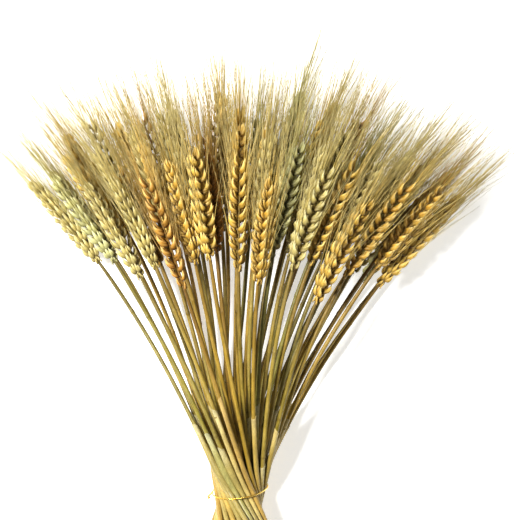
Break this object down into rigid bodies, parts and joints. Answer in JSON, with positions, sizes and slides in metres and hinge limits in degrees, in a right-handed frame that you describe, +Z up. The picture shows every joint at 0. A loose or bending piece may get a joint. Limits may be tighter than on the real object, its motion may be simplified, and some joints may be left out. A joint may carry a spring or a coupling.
{
  "type": "bunch of wheat ears",
  "caption": "Tied bunch of dried bearded wheat lying flat: straws spiral through a gilt wire and fan out into braided ears with long fine awns.",
  "frame": {"origin": "on the surface that the bunch lies on, at the middle of the tie's flat bottom", "axes": "+Y runs along the bunch from the tie to the ears, +Z is up, and +X is to the right seen from above with the ears away from the viewer"},
  "size_m": [0.3888, 0.3859, 0.1028],
  "materials": {
    "golden_wheat": "dry husk, golden yellow, satin",
    "straw_wheat": "dry husk, pale straw, matte",
    "green_wheat": "dry husk, pale grey green, matte",
    "amber_wheat": "dry husk, orange brown, satin",
    "gilt_wire": "bright gilt"
  },
  "bodies": {
    "root": {"stalk_01": "golden_wheat", "stalk_02": "amber_wheat", "stalk_03": "golden_wheat", "stalk_04": "golden_wheat", "stalk_05": "straw_wheat", "stalk_06": "golden_wheat", "stalk_07": "straw_wheat", "stalk_08": "straw_wheat", "stalk_09": "straw_wheat", "stalk_10": "straw_wheat", "stalk_11": "straw_wheat", "stalk_12": "amber_wheat", "stalk_13": "straw_wheat", "stalk_14": "green_wheat", "stalk_15": "straw_wheat", "stalk_16": "straw_wheat", "stalk_17": "straw_wheat", "stalk_18": "golden_wheat", "stalk_19": "straw_wheat", "stalk_20": "golden_wheat", "stalk_21": "golden_wheat", "stalk_22": "straw_wheat", "stalk_23": "golden_wheat", "stalk_24": "golden_wheat", "stalk_25": "green_wheat", "stalk_26": "green_wheat", "stalk_27": "golden_wheat", "stalk_28": "straw_wheat", "stalk_29": "golden_wheat", "stalk_30": "straw_wheat", "stalk_31": "straw_wheat", "stalk_32": "straw_wheat", "stalk_33": "golden_wheat", "stalk_34": "straw_wheat", "stalk_35": "golden_wheat", "stalk_36": "straw_wheat", "stalk_37": "green_wheat", "stalk_38": "amber_wheat", "stalk_39": "golden_wheat", "stalk_40": "green_wheat", "stalk_41": "straw_wheat", "stalk_42": "golden_wheat", "stalk_43": "straw_wheat", "stalk_44": "golden_wheat", "stalk_45": "straw_wheat", "stalk_46": "straw_wheat", "stalk_47": "green_wheat", "stalk_48": "golden_wheat", "stalk_49": "golden_wheat", "stalk_50": "golden_wheat", "stalk_51": "green_wheat", "stalk_52": "straw_wheat", "stalk_53": "amber_wheat", "stalk_54": "amber_wheat", "stalk_55": "golden_wheat", "stalk_56": "golden_wheat", "stalk_57": "straw_wheat", "stalk_58": "amber_wheat", "stalk_59": "golden_wheat", "tie": "gilt_wire"}
  },
  "joints": []
}
